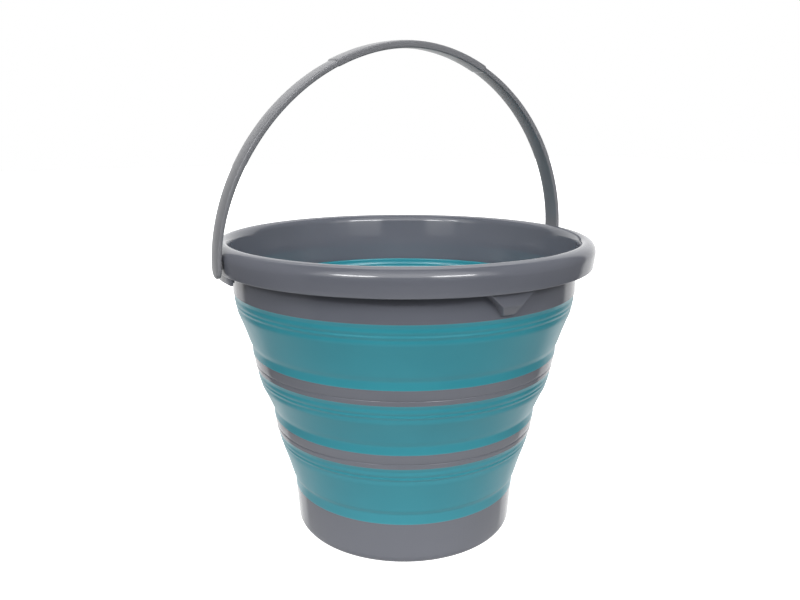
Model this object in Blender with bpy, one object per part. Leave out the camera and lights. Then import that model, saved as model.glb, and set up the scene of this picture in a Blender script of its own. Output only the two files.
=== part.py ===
"""Collapsible camp bucket: a stack of hard rings joined by soft wall panels, with a swing handle.

All lengths are metres, +Z is up. The origin is the centre of the base underside. The spout
points to -Y and the handle's pivot axis lies along X.
"""

import math

import bmesh
import bpy
from mathutils import Vector

# Heights of the pieces of the open wall, from the floor up
BASE_HEIGHT = 0.0374
LOWER_PANEL_HEIGHT = 0.0540
LOWER_HOOP_HEIGHT = 0.0121
MIDDLE_PANEL_HEIGHT = 0.0444
UPPER_HOOP_HEIGHT = 0.0127
UPPER_PANEL_HEIGHT = 0.0524
RIM_HEIGHT = 0.0420

# Outer radius of the foot, and what each piece above adds to the radius
BASE_FOOT_RADIUS = 0.0953
BASE_DRAFT = 0.0021
LOWER_PANEL_FLARE = 0.0149
LOWER_HOOP_DRAFT = 0.0018
MIDDLE_PANEL_FLARE = 0.0140
UPPER_HOOP_DRAFT = 0.0023
UPPER_PANEL_FLARE = 0.0141
RIM_OVERHANG = 0.0149

# Walls and seats
HARD_WALL = 0.0024
SOFT_WALL = 0.0024
SEAT_GAP = 0.0003
TONGUE_HEIGHT = 0.0010
CUT_OVERRUN = 0.0040

# Hinge zone under the top edge of each soft panel: drops below the edge and reliefs
FIRST_GROOVE_DROP = 0.0033
FIRST_RIDGE_DROP = 0.0063
SECOND_GROOVE_DROP = 0.0083
SECOND_RIDGE_DROP = 0.0098
THIRD_GROOVE_DROP = 0.0119
SHOULDER_DROP = 0.0152
GROOVE_DEPTH = 0.0005
RIDGE_RELIEF = 0.0002

# Radius lost between a panel's top edge and its shoulder, and the lip over its foot strip
UPPER_SHOULDER_TAPER = 0.0025
MIDDLE_SHOULDER_TAPER = 0.0037
LOWER_SHOULDER_TAPER = 0.0042
UPPER_LIP_RELIEF = 0.0021
MIDDLE_LIP_RELIEF = 0.0022
LOWER_LIP_RELIEF = 0.0025
UPPER_LIP_LIFT = 0.0106
MIDDLE_LIP_LIFT = 0.0113
LOWER_LIP_LIFT = 0.0125
LIP_UNDERCUT_HEIGHT = 0.0038
STRIP_RELIEF = 0.0003
PANEL_HOLLOW = 0.0004

# Bead line moulded round each hoop
HOOP_LINE_LIFT = 0.0034
HOOP_LINE_WIDTH = 0.0012
HOOP_LINE_DEPTH = 0.0004

# Base: foot ring, floor and corner rounding
BASE_CORNER = 0.0082
FLOOR_THICKNESS = 0.0024
FOOT_RING_WIDTH = 0.0070
FOOT_RING_HEIGHT = 0.0022
FOOT_RING_DRAFT = 0.0012
FLOOR_FILLET = 0.0050

# Rim: rolled crest, hanging skirt and the flare from the band up to the inner edge
SKIRT_DRAFT = 0.0014
SKIRT_DROP = 0.0210
SKIRT_WALL = 0.0024
CREST_REACH = 0.0079
CREST_RISE = 0.0090
INNER_EDGE_WIDTH = 0.0015
INNER_EDGE_DROP = 0.0020
FLARE_HEIGHT = 0.0210
FLARE_UNDER_SHARE = 0.75

# Spout: a V shaped beak behind the skirt, with a pouring channel inside it
SPOUT_TOP_HALF_WIDTH = 0.0195
SPOUT_KNEE_HALF_WIDTH = 0.0088
SPOUT_FOOT_HALF_WIDTH = 0.0049
SPOUT_SEAT_HALF_WIDTH = 0.0042
SPOUT_SEAT_LIFT = 0.0018
SPOUT_FOOT_LIFT = 0.0035
SPOUT_KNEE_LIFT = 0.0107
SPOUT_SHOULDER_DROP = 0.0005
SPOUT_SKIRT_GAP = 0.0026
SPOUT_FOOT_SHARE = 0.48
SPOUT_WALL = 0.0024

# Pivots: tabs that lengthen the skirt, ears behind them and bores for the handle's pins
PIVOT_DROP = 0.0120
TAB_HALF_WIDTH = 0.0152
TAB_DROP = 0.0055
TAB_INSET = 0.0004
TAB_LAP = 0.0020
EAR_HALF_WIDTH = 0.0080
EAR_DEPTH = 0.0050
EAR_DROP = 0.0045
PIN_RADIUS = 0.0030
PIN_CLEARANCE = 0.0004
PIN_HEAD_RELIEF = 0.0008
PIN_HEAD_LENGTH = 0.0022
PIN_TIP_TAPER = 0.0010
PIN_COLLAR_RELIEF = 0.0012

# Handle: arched strap with crowned faces and round ends, and a thicker grip
ARM_CLEARANCE = 0.0012
ARM_THICKNESS = 0.0042
ARM_WIDTH = 0.0156
ARM_CROWN = 0.0004
ARM_ROUNDING = 0.0012
ARM_TAIL = 0.0020
ARCH_EXTRA_RISE = 0.0036
ARCH_POWER = 1.044
GRIP_OUTER_RELIEF = 0.0011
GRIP_INNER_RELIEF = 0.0005
GRIP_SIDE_RELIEF = 0.0005
GRIP_HALF_ANGLE = math.radians(25.5)
HANDLE_LEAN = math.radians(3.8)

# Radii that follow from the foot's
BASE_TOP_RADIUS = BASE_FOOT_RADIUS + BASE_DRAFT
LOWER_HOOP_BOTTOM_RADIUS = BASE_TOP_RADIUS + LOWER_PANEL_FLARE
LOWER_HOOP_TOP_RADIUS = LOWER_HOOP_BOTTOM_RADIUS + LOWER_HOOP_DRAFT
UPPER_HOOP_BOTTOM_RADIUS = LOWER_HOOP_TOP_RADIUS + MIDDLE_PANEL_FLARE
UPPER_HOOP_TOP_RADIUS = UPPER_HOOP_BOTTOM_RADIUS + UPPER_HOOP_DRAFT
BAND_RADIUS = UPPER_HOOP_TOP_RADIUS + UPPER_PANEL_FLARE
RIM_RADIUS = BAND_RADIUS + RIM_OVERHANG

# Levels that follow from the heights
LOWER_HOOP_Z = BASE_HEIGHT + LOWER_PANEL_HEIGHT
MIDDLE_PANEL_Z = LOWER_HOOP_Z + LOWER_HOOP_HEIGHT
UPPER_HOOP_Z = MIDDLE_PANEL_Z + MIDDLE_PANEL_HEIGHT
UPPER_PANEL_Z = UPPER_HOOP_Z + UPPER_HOOP_HEIGHT
RIM_Z = UPPER_PANEL_Z + UPPER_PANEL_HEIGHT

# Levels inside the rim, above its lower edge
SKIRT_FOOT = RIM_HEIGHT - SKIRT_DROP
CREST_START = RIM_HEIGHT - CREST_RISE
CREST_CENTER = RIM_RADIUS - CREST_REACH
PIVOT_LEVEL = RIM_HEIGHT - PIVOT_DROP
SKIRT_MIDDLE = RIM_RADIUS - SKIRT_DRAFT - SKIRT_WALL / 2
EAR_BACK = SKIRT_MIDDLE - EAR_DEPTH
SPOUT_FRONT = RIM_RADIUS - SKIRT_DRAFT - SKIRT_WALL - SPOUT_SKIRT_GAP
ARCH_HALF_SPAN = RIM_RADIUS + ARM_CLEARANCE + ARM_THICKNESS / 2
ARCH_RISE = ARCH_HALF_SPAN + ARCH_EXTRA_RISE

# Resolution and welding
ROUND_STEPS = 56
CREST_STEPS = 5
EDGE_STEPS = 2
FLARE_STEPS = 4
CORNER_STEPS = 3
PIN_STEPS = 20
ARCH_STEPS = 36
GRIP_STEPS = 10
TAIL_STEPS = 4
TAIL_TIP_SHARE = 0.95
WELD_SHARE = 0.00001
WELD = RIM_RADIUS * WELD_SHARE
SHARP_ANGLE = math.radians(35.0)

GRAY_PLASTIC = (0.148, 0.154, 0.178, 1.0)
TEAL_RUBBER = (0.042, 0.262, 0.330, 1.0)


def clear_scene():
    """Remove the objects that the scene starts with."""
    for obj in list(bpy.data.objects):
        bpy.data.objects.remove(obj, do_unlink=True)


def make_material(name, color, roughness, specular):
    """Return a Principled material of one plastic."""
    material = bpy.data.materials.new(name)
    material.use_nodes = True
    shader = material.node_tree.nodes["Principled BSDF"]
    shader.inputs["Base Color"].default_value = color
    shader.inputs["Roughness"].default_value = roughness
    shader.inputs["Metallic"].default_value = 0.0
    shader.inputs["Specular IOR Level"].default_value = specular
    return material


def turn_solid(bm, outline, axis, steps):
    """Turn a closed (radius, height) outline about the X or Z axis into a solid."""
    if axis == "Z":
        corners = [bm.verts.new((radius, 0.0, height)) for radius, height in outline]
        about = Vector((0.0, 0.0, 1.0))
    else:
        corners = [bm.verts.new((height, 0.0, radius)) for radius, height in outline]
        about = Vector((1.0, 0.0, 0.0))
    rim = [bm.edges.new(pair) for pair in zip(corners, corners[1:] + corners[:1])]
    bmesh.ops.spin(
        bm,
        geom=corners + rim,
        cent=(0.0, 0.0, 0.0),
        axis=about,
        angle=math.tau,
        steps=steps,
        use_merge=True,
    )
    bmesh.ops.remove_doubles(bm, verts=bm.verts[:], dist=WELD)
    flat = [edge for edge in bm.edges if not edge.link_faces]
    bmesh.ops.delete(bm, geom=flat, context="EDGES")
    bmesh.ops.recalc_face_normals(bm, faces=bm.faces[:])


def mirror_to_side(bm, side):
    """Mirror a solid across X = 0 when the side is -1, and keep its faces outward."""
    bmesh.ops.scale(bm, vec=(side, 1.0, 1.0), verts=bm.verts[:])
    bmesh.ops.recalc_face_normals(bm, faces=bm.faces[:])


def loft_rings(bm, rings):
    """Join rings of equal corner count with walls, and close both ends."""
    loops = [[bm.verts.new(corner) for corner in ring] for ring in rings]
    for lower, upper in zip(loops, loops[1:]):
        count = len(lower)
        for i in range(count):
            j = (i + 1) % count
            bm.faces.new((lower[i], lower[j], upper[j], upper[i]))
    bm.faces.new(loops[0])
    bm.faces.new(loops[-1])
    bmesh.ops.recalc_face_normals(bm, faces=bm.faces[:])


def finish_object(name, bm, material):
    """Make a piece of a shape, with its material and smooth round faces."""
    mesh = bpy.data.meshes.new(name)
    bm.to_mesh(mesh)
    bm.free()
    mesh.materials.append(material)
    mesh.shade_smooth()
    mesh.set_sharp_from_angle(angle=SHARP_ANGLE)
    obj = bpy.data.objects.new(name, mesh)
    bpy.context.scene.collection.objects.link(obj)
    return obj


def apply_boolean(obj, bm, operation, material):
    """Join a helper solid to an object, or cut it away, and drop the helper."""
    helper = finish_object(obj.name + "_helper", bm, material)
    modifier = obj.modifiers.new("shape", "BOOLEAN")
    modifier.operation = operation
    modifier.solver = "EXACT"
    modifier.object = helper
    bpy.context.view_layer.update()
    graph = bpy.context.evaluated_depsgraph_get()
    mesh = bpy.data.meshes.new_from_object(obj.evaluated_get(graph))
    obj.modifiers.clear()
    obj.data = mesh
    bpy.data.objects.remove(helper, do_unlink=True)


def place(obj, parent, height):
    """Seat a piece on its parent, at a height above the parent's own level."""
    obj.parent = parent
    obj.location = (0.0, 0.0, height)


def upper_edge(radius, height, wall):
    """Top edge of a hard ring from inside to outside, with its pointed tongue."""
    return [
        (radius - wall, height),
        (radius - wall / 2, height + TONGUE_HEIGHT),
        (radius, height),
    ]


def lower_edge(radius, height, wall):
    """Bottom edge of a hard ring from outside to inside, with its pointed tongue."""
    return [
        (radius, height),
        (radius - wall / 2, height - TONGUE_HEIGHT),
        (radius - wall, height),
    ]


def panel_outline(height, bottom, top, taper, lip_relief, lip_lift):
    """Section of a soft panel: grooved seats at both edges, hinge zone, panel, lip and strip."""
    head = height - SEAT_GAP
    foot = SEAT_GAP
    shoulder = top - taper
    lip = bottom + lip_relief

    def hinge(drop, relief):
        return (top - taper * drop / SHOULDER_DROP + relief, height - drop)

    middle = (height - SHOULDER_DROP + lip_lift) / 2
    outside = [
        (top, head),
        hinge(FIRST_GROOVE_DROP, -GROOVE_DEPTH),
        hinge(FIRST_RIDGE_DROP, RIDGE_RELIEF),
        hinge(SECOND_GROOVE_DROP, -GROOVE_DEPTH),
        hinge(SECOND_RIDGE_DROP, RIDGE_RELIEF),
        hinge(THIRD_GROOVE_DROP, -GROOVE_DEPTH),
        (shoulder, height - SHOULDER_DROP),
        ((shoulder + lip) / 2 - PANEL_HOLLOW, middle),
        (lip, lip_lift),
        (bottom + STRIP_RELIEF, lip_lift - LIP_UNDERCUT_HEIGHT),
        (bottom, foot),
    ]
    inside = [
        (bottom - SOFT_WALL / 2, foot + TONGUE_HEIGHT),
        (bottom - SOFT_WALL, foot),
        (bottom - SOFT_WALL, lip_lift - LIP_UNDERCUT_HEIGHT),
        (lip - SOFT_WALL, lip_lift + LIP_UNDERCUT_HEIGHT / 2),
        (shoulder - SOFT_WALL, height - SHOULDER_DROP),
        (top - SOFT_WALL, head),
        (top - SOFT_WALL / 2, head - TONGUE_HEIGHT),
    ]
    return outside + inside


def make_panel(name, material, height, bottom, top, taper, lip_relief, lip_lift):
    """One soft wall panel, turned about the bucket's axis."""
    bm = bmesh.new()
    turn_solid(bm, panel_outline(height, bottom, top, taper, lip_relief, lip_lift), "Z", ROUND_STEPS)
    return finish_object(name, bm, material)


def make_hoop(name, material, height, bottom, top):
    """One hard hoop with a fine line round it and tongues at both edges."""
    def outer(level):
        return bottom + (top - bottom) * level / height

    line_top = HOOP_LINE_LIFT + HOOP_LINE_WIDTH
    outline = upper_edge(top, height, HARD_WALL)
    outline += [
        (outer(line_top), line_top),
        (outer(HOOP_LINE_LIFT) - HOOP_LINE_DEPTH, (HOOP_LINE_LIFT + line_top) / 2),
        (outer(HOOP_LINE_LIFT), HOOP_LINE_LIFT),
    ]
    outline += lower_edge(bottom, 0.0, HARD_WALL)
    bm = bmesh.new()
    turn_solid(bm, outline, "Z", ROUND_STEPS)
    return finish_object(name, bm, material)


def corner_arc(center, radius, first, last, steps):
    """Points of an arc in the (radius, height) plane between two angles."""
    points = []
    for i in range(steps + 1):
        angle = first + (last - first) * i / steps
        points.append((center[0] + radius * math.cos(angle), center[1] + radius * math.sin(angle)))
    return points


def make_base(material):
    """The foot: wall, rounded corner, foot ring, recessed underside and floor."""
    ring_outer = BASE_FOOT_RADIUS - BASE_CORNER
    ring_inner = ring_outer - FOOT_RING_WIDTH
    floor_top = FOOT_RING_HEIGHT + FLOOR_THICKNESS
    inner_foot = BASE_FOOT_RADIUS - HARD_WALL
    outline = upper_edge(BASE_TOP_RADIUS, BASE_HEIGHT, HARD_WALL)
    outline += corner_arc((ring_outer, BASE_CORNER), BASE_CORNER, 0.0, -math.pi / 2, CORNER_STEPS)
    outline += [
        (ring_inner, 0.0),
        (ring_inner - FOOT_RING_DRAFT, FOOT_RING_HEIGHT),
        (0.0, FOOT_RING_HEIGHT),
        (0.0, floor_top),
        (inner_foot - FLOOR_FILLET, floor_top),
        (inner_foot, floor_top + FLOOR_FILLET),
    ]
    bm = bmesh.new()
    turn_solid(bm, outline, "Z", ROUND_STEPS)
    return finish_object("base_cup", bm, material)


def crest_curve(depth, steps):
    """Outer quarter of the crest at a depth below its surface, from the skirt up to the top."""
    points = []
    for i in range(steps + 1):
        angle = math.pi / 2 * i / steps
        radius = CREST_CENTER + (CREST_REACH - depth) * math.cos(angle)
        points.append((radius, CREST_START + (CREST_RISE - depth) * math.sin(angle)))
    return points


def inner_edge_curve():
    """Rounded inner edge of the crest, from the top down to the start of the flare."""
    points = []
    for i in range(1, EDGE_STEPS + 1):
        angle = math.pi / 2 * i / EDGE_STEPS
        radius = CREST_CENTER - INNER_EDGE_WIDTH * math.sin(angle)
        points.append((radius, RIM_HEIGHT - INNER_EDGE_DROP * (1.0 - math.cos(angle))))
    return points


def flare_curve(depth, top_share, steps):
    """Inner wall at a depth behind its surface, from a share of the flare down to its foot."""
    inner = BAND_RADIUS - HARD_WALL
    reach = CREST_CENTER - INNER_EDGE_WIDTH - inner
    foot = RIM_HEIGHT - INNER_EDGE_DROP - FLARE_HEIGHT
    points = []
    for i in range(steps + 1):
        share = top_share * (1.0 - i / steps)
        points.append((inner + depth + reach * share * share, foot + FLARE_HEIGHT * share))
    return points


def rim_outline():
    """Section of the rim: skirt, rolled crest, flare and the band under it."""
    skirt_foot = RIM_RADIUS - SKIRT_DRAFT
    outline = [(skirt_foot, SKIRT_FOOT)]
    outline += crest_curve(0.0, CREST_STEPS)
    outline += inner_edge_curve()
    outline += flare_curve(0.0, 1.0, FLARE_STEPS)[1:]
    outline += reversed(lower_edge(BAND_RADIUS, 0.0, HARD_WALL))
    outline += reversed(flare_curve(HARD_WALL, FLARE_UNDER_SHARE, FLARE_STEPS - 1))
    outline += reversed(crest_curve(SKIRT_WALL, CREST_STEPS - 2)[:-1])
    outline += [(skirt_foot - SKIRT_WALL, SKIRT_FOOT)]
    return outline


def rim_core():
    """Ring that runs inside the rim's own walls, and bounds what is joined between them."""
    outline = [(SKIRT_MIDDLE, 0.0)]
    outline += crest_curve(SKIRT_WALL / 2, CREST_STEPS)
    outline += flare_curve(HARD_WALL / 2, 1.0, FLARE_STEPS)
    outline += [(BAND_RADIUS - HARD_WALL / 2, 0.0)]
    bm = bmesh.new()
    turn_solid(bm, outline, "Z", ROUND_STEPS)
    return bm


def join_common(rim, first, second, material):
    """Join to the rim the solid that two shapes have in common."""
    common = finish_object("common", first, material)
    apply_boolean(common, second, "INTERSECT", material)
    shape = bmesh.new()
    shape.from_mesh(common.data)
    bpy.data.objects.remove(common, do_unlink=True)
    apply_boolean(rim, shape, "UNION", material)


def spout_rings(wall):
    """Rings of the spout from its seat on the band up, drawn in by a wall for the channel."""
    back = BAND_RADIUS - HARD_WALL - CUT_OVERRUN
    seat_front = BAND_RADIUS - HARD_WALL / 2
    foot_front = BAND_RADIUS + (SPOUT_FRONT - BAND_RADIUS) * SPOUT_FOOT_SHARE
    stations = [
        (SPOUT_SEAT_HALF_WIDTH, seat_front, SPOUT_SEAT_LIFT + wall),
        (SPOUT_FOOT_HALF_WIDTH, foot_front, SPOUT_FOOT_LIFT + wall),
        (SPOUT_KNEE_HALF_WIDTH, SPOUT_FRONT, SPOUT_KNEE_LIFT + wall / 2),
        (SPOUT_TOP_HALF_WIDTH, SPOUT_FRONT, SKIRT_FOOT - SPOUT_SHOULDER_DROP),
        (SPOUT_TOP_HALF_WIDTH, SPOUT_FRONT, RIM_HEIGHT + CUT_OVERRUN),
    ]
    rings = []
    for half_width, front, level in stations:
        half = half_width - wall
        corners = ((-half, front - wall), (half, front - wall), (half, back), (-half, back))
        rings.append([(x, -y, level) for x, y in corners])
    return rings


def add_spout(rim, material):
    """Join the V shaped beak to the rim, and cut the pouring channel into it."""
    beak = bmesh.new()
    loft_rings(beak, spout_rings(0.0))
    join_common(rim, beak, rim_core(), material)
    channel = bmesh.new()
    loft_rings(channel, spout_rings(SPOUT_WALL))
    apply_boolean(rim, channel, "DIFFERENCE", material)


def side_block(bm, side, half_width, inner, outer, foot, top):
    """Upright block on one side of the rim, between two radii and two levels."""
    loft_rings(
        bm,
        [
            [(side * x, y, z) for x, z in ((inner, foot), (outer, foot), (outer, top), (inner, top))]
            for y in (-half_width, half_width)
        ],
    )


def add_tab(rim, side, material):
    """Lengthen the skirt downward with a tab below one pivot."""
    outer = RIM_RADIUS - SKIRT_DRAFT - TAB_INSET
    inner = RIM_RADIUS - SKIRT_DRAFT - SKIRT_WALL + TAB_INSET
    foot = SKIRT_FOOT - TAB_DROP
    top = SKIRT_FOOT + TAB_LAP
    ring = bmesh.new()
    turn_solid(ring, [(inner, foot), (outer, foot), (outer, top), (inner, top)], "Z", ROUND_STEPS)
    block = bmesh.new()
    side_block(block, side, TAB_HALF_WIDTH, BAND_RADIUS, RIM_RADIUS, foot - CUT_OVERRUN, top + CUT_OVERRUN)
    join_common(rim, ring, block, material)


def add_ear(rim, side, material):
    """Join one pivot ear to the back of the skirt, and bore it for the handle's pin."""
    ear = bmesh.new()
    side_block(ear, side, EAR_HALF_WIDTH, EAR_BACK, RIM_RADIUS, SKIRT_FOOT - EAR_DROP, RIM_HEIGHT)
    join_common(rim, ear, rim_core(), material)
    bore = bmesh.new()
    radius = PIN_RADIUS + PIN_CLEARANCE
    near = EAR_BACK - PIN_HEAD_LENGTH / 2
    far = RIM_RADIUS + CUT_OVERRUN
    turn_solid(bore, [(0.0, near), (radius, near), (radius, far), (0.0, far)], "X", PIN_STEPS)
    mirror_to_side(bore, side)
    bmesh.ops.translate(bore, vec=(0.0, 0.0, PIVOT_LEVEL), verts=bore.verts[:])
    apply_boolean(rim, bore, "DIFFERENCE", material)


def make_rim(material):
    """The rim's moulding, with its spout, the two tabs of the skirt and the pivot ears."""
    bm = bmesh.new()
    turn_solid(bm, rim_outline(), "Z", ROUND_STEPS)
    rim = finish_object("rim_frame", bm, material)
    add_spout(rim, material)
    for side in (-1.0, 1.0):
        add_tab(rim, side, material)
        add_ear(rim, side, material)
    rim.data.set_sharp_from_angle(angle=SHARP_ANGLE)
    return rim


def strap_section(inner, outer, half):
    """Section of the strap about its middle line: crowned faces and rounded edges."""
    front = [
        (outer, 0.0),
        (outer - ARM_CROWN, half - ARM_ROUNDING),
        (outer - ARM_CROWN - ARM_ROUNDING, half),
        (inner + ARM_CROWN + ARM_ROUNDING, half),
        (inner + ARM_CROWN, half - ARM_ROUNDING),
        (inner, 0.0),
    ]
    back = [(offset, -y) for offset, y in reversed(front[1:-1])]
    return front + back


def arch_ring(section, angle):
    """The strap's section set across the arch, at an angle from the right pivot."""
    across = math.cos(angle)
    up = math.sin(angle)
    side = math.copysign(1.0, across)
    x = side * ARCH_HALF_SPAN * abs(across) ** ARCH_POWER
    z = ARCH_RISE * up ** ARCH_POWER
    turn_power = 2.0 - ARCH_POWER
    rise = ARCH_HALF_SPAN * up ** turn_power
    reach = ARCH_RISE * abs(across) ** turn_power
    tilt = math.atan2(rise, reach)
    out = Vector((side * math.cos(tilt), 0.0, math.sin(tilt)))
    return [Vector((x, y, z)) + offset * out for offset, y in section]


def tail_rings(section, side):
    """Rings of one round strap end below its pivot, from the tip up."""
    half = ARM_WIDTH / 2
    rings = []
    for i in range(TAIL_STEPS, -1, -1):
        angle = math.pi / 2 * TAIL_TIP_SHARE * i / TAIL_STEPS
        level = -ARM_TAIL - half * math.sin(angle)
        share = math.cos(angle)
        rings.append([Vector((side * (ARCH_HALF_SPAN + offset), y * share, level)) for offset, y in section])
    return rings


def make_arms(material):
    """The strap from end to end, over the arch."""
    section = strap_section(-ARM_THICKNESS / 2, ARM_THICKNESS / 2, ARM_WIDTH / 2)
    rings = tail_rings(section, 1.0)
    for i in range(ARCH_STEPS + 1):
        rings.append(arch_ring(section, min(math.pi * i / ARCH_STEPS, math.pi)))
    rings += reversed(tail_rings(section, -1.0))
    bm = bmesh.new()
    loft_rings(bm, rings)
    return finish_object("carry_handle", bm, material)


def make_grip():
    """The thicker bar round the top of the arch."""
    section = strap_section(
        -ARM_THICKNESS / 2 - GRIP_INNER_RELIEF,
        ARM_THICKNESS / 2 + GRIP_OUTER_RELIEF,
        ARM_WIDTH / 2 + GRIP_SIDE_RELIEF,
    )
    rings = []
    for i in range(GRIP_STEPS + 1):
        turn = GRIP_HALF_ANGLE * (2 * i / GRIP_STEPS - 1)
        rings.append(arch_ring(section, math.pi / 2 + turn))
    grip = bmesh.new()
    loft_rings(grip, rings)
    return grip


def pin_outline():
    """Turned section of one snap pin: collar, shank and head, from the head to the strap."""
    skirt_level_share = (PIVOT_LEVEL - SKIRT_FOOT) / (CREST_START - SKIRT_FOOT)
    collar = RIM_RADIUS - SKIRT_DRAFT * (1.0 - skirt_level_share) + SEAT_GAP
    head_start = EAR_BACK - SEAT_GAP
    tip = head_start - PIN_HEAD_LENGTH
    head = PIN_RADIUS + PIN_HEAD_RELIEF
    return [
        (0.0, tip),
        (head - PIN_TIP_TAPER, tip),
        (head, head_start),
        (PIN_RADIUS, head_start),
        (PIN_RADIUS, collar),
        (PIN_RADIUS + PIN_COLLAR_RELIEF, collar),
        (PIN_RADIUS + PIN_COLLAR_RELIEF, ARCH_HALF_SPAN),
        (0.0, ARCH_HALF_SPAN),
    ]


def make_handle(material):
    """The handle: arched strap, grip and snap pins, in one moulding."""
    handle = make_arms(material)
    apply_boolean(handle, make_grip(), "UNION", material)
    for side in (-1.0, 1.0):
        pin = bmesh.new()
        turn_solid(pin, pin_outline(), "X", PIN_STEPS)
        mirror_to_side(pin, side)
        apply_boolean(handle, pin, "UNION", material)
    handle.data.set_sharp_from_angle(angle=SHARP_ANGLE)
    return handle


def build_bucket():
    """Make every piece and seat it on the one below."""
    clear_scene()
    gray = make_material("gray_plastic", GRAY_PLASTIC, 0.32, 0.5)
    teal = make_material("teal_rubber", TEAL_RUBBER, 0.45, 0.4)
    base = make_base(gray)
    lower_panel = make_panel(
        "lower_wall_panel",
        teal,
        LOWER_PANEL_HEIGHT,
        BASE_TOP_RADIUS,
        LOWER_HOOP_BOTTOM_RADIUS,
        LOWER_SHOULDER_TAPER,
        LOWER_LIP_RELIEF,
        LOWER_LIP_LIFT,
    )
    place(lower_panel, base, BASE_HEIGHT)
    lower_hoop = make_hoop(
        "lower_hoop",
        gray,
        LOWER_HOOP_HEIGHT,
        LOWER_HOOP_BOTTOM_RADIUS,
        LOWER_HOOP_TOP_RADIUS,
    )
    place(lower_hoop, base, LOWER_HOOP_Z)
    middle_panel = make_panel(
        "middle_wall_panel",
        teal,
        MIDDLE_PANEL_HEIGHT,
        LOWER_HOOP_TOP_RADIUS,
        UPPER_HOOP_BOTTOM_RADIUS,
        MIDDLE_SHOULDER_TAPER,
        MIDDLE_LIP_RELIEF,
        MIDDLE_LIP_LIFT,
    )
    place(middle_panel, lower_hoop, LOWER_HOOP_HEIGHT)
    upper_hoop = make_hoop(
        "upper_hoop",
        gray,
        UPPER_HOOP_HEIGHT,
        UPPER_HOOP_BOTTOM_RADIUS,
        UPPER_HOOP_TOP_RADIUS,
    )
    place(upper_hoop, lower_hoop, UPPER_HOOP_Z - LOWER_HOOP_Z)
    upper_panel = make_panel(
        "upper_wall_panel",
        teal,
        UPPER_PANEL_HEIGHT,
        UPPER_HOOP_TOP_RADIUS,
        BAND_RADIUS,
        UPPER_SHOULDER_TAPER,
        UPPER_LIP_RELIEF,
        UPPER_LIP_LIFT,
    )
    place(upper_panel, upper_hoop, UPPER_HOOP_HEIGHT)
    rim = make_rim(gray)
    place(rim, upper_hoop, RIM_Z - UPPER_HOOP_Z)
    handle = make_handle(gray)
    place(handle, rim, PIVOT_LEVEL)
    handle.rotation_euler = (HANDLE_LEAN, 0.0, 0.0)


build_bucket()
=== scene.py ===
"""Dressed model of a collapsible camp bucket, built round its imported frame.

All lengths are metres, +Z is up, the spout points to -Y and the handle's pivot axis lies along X.
"""

import logging
import math
from collections.abc import Sequence
from dataclasses import dataclass
from enum import Enum
from itertools import accumulate

import bmesh
import bpy
from mathutils import Matrix, Vector


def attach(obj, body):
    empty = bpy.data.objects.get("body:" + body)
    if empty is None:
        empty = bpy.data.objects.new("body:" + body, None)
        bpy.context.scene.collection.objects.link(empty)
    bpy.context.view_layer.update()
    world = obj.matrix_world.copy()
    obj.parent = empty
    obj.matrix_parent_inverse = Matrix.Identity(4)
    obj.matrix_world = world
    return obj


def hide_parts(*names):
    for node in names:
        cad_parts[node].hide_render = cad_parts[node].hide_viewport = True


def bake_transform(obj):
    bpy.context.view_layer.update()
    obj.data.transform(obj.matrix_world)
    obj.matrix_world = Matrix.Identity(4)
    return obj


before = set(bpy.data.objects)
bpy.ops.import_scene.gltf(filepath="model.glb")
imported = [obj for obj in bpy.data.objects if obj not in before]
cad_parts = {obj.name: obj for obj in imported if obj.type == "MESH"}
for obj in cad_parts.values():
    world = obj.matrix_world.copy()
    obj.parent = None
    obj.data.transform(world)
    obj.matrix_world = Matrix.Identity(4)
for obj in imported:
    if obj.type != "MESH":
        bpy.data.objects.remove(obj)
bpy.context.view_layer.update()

LOG = logging.getLogger("camp_bucket")

ROUND_STEPS = 176
BORE_STEPS = 48
ROUNDING_SEGMENTS = 4
BLOCK_SEGMENTS = 3
BLOCK_ANGLE = math.radians(25.0)
TOOL_ROW = 0.040
WELD = 0.000002
SHARP_ANGLE = math.radians(32.0)
UP = Vector((0.0, 0.0, 1.0))
WHITE = (1.0, 1.0, 1.0, 1.0)
VECTOR_MATH = "ShaderNodeVectorMath"

Pair = tuple[float, float]
Color = tuple[float, float, float, float]
Socket = bpy.types.NodeSocket
Material = bpy.types.Material
Piece = bpy.types.Object
Shape = bmesh.types.BMesh


class TurnAxis(Enum):
    """Axis that an outline is turned about."""

    UP = (0.0, 0.0, 1.0)
    ACROSS = (1.0, 0.0, 0.0)

    @property
    def steps(self) -> int:
        """Number of steps in a full turn."""
        return ROUND_STEPS if self is TurnAxis.UP else BORE_STEPS

    def point(self, radius: float, height: float) -> Vector:
        """Return the point of an outline at a radius from this axis and a height along it."""
        return Vector((radius, 0.0, height)) if self is TurnAxis.UP else Vector((height, 0.0, radius))


class Side(Enum):
    """Side of the bucket, as the sign of its X."""

    LEFT = -1.0
    RIGHT = 1.0


class Joining(Enum):
    """How a tool solid changes the piece that it meets."""

    ADD = "UNION"
    CUT = "DIFFERENCE"
    TRIM = "INTERSECT"


class Slot(Enum):
    """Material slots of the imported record."""

    GRAY = "gray_plastic"
    TEAL = "teal_rubber"


@dataclass(frozen=True)
class Corner:
    """One corner of an outline, with the size of its rounding."""

    radius: float
    height: float
    rounding: float = 0.0


def clamped(share: float) -> float:
    """Return a share kept between 0 and 1."""
    return min(max(share, 0.0), 1.0)


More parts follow.
